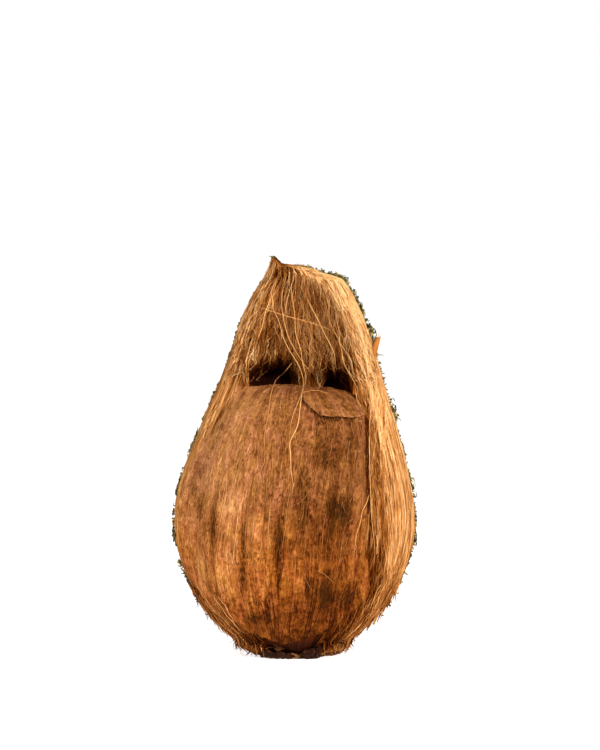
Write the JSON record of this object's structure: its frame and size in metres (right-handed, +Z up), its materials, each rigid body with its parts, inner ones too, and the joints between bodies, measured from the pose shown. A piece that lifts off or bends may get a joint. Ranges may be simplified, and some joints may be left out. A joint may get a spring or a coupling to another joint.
{
  "type": "coconut",
  "caption": "Dry coconut with the husk stripped off its front: a brown fibrous nut resting in a pointed husk, standing on the scales round its stem scar.",
  "frame": {"origin": "middle of the flat spot under the calyx that the coconut stands on", "axes": "+Z up from the stem scar to the tip, -Y towards the open front where the nut shows, +X to the right of that front"},
  "size_m": [0.1391, 0.1186, 0.225],
  "materials": {
    "husk_fibre": "matte, fibrous",
    "nut_felt": "matte, felted",
    "calyx_scale": "dull, leathery"
  },
  "bodies": {
    "root": {"husk": "husk_fibre", "nut": "nut_felt", "calyx": "calyx_scale"}
  },
  "joints": []
}
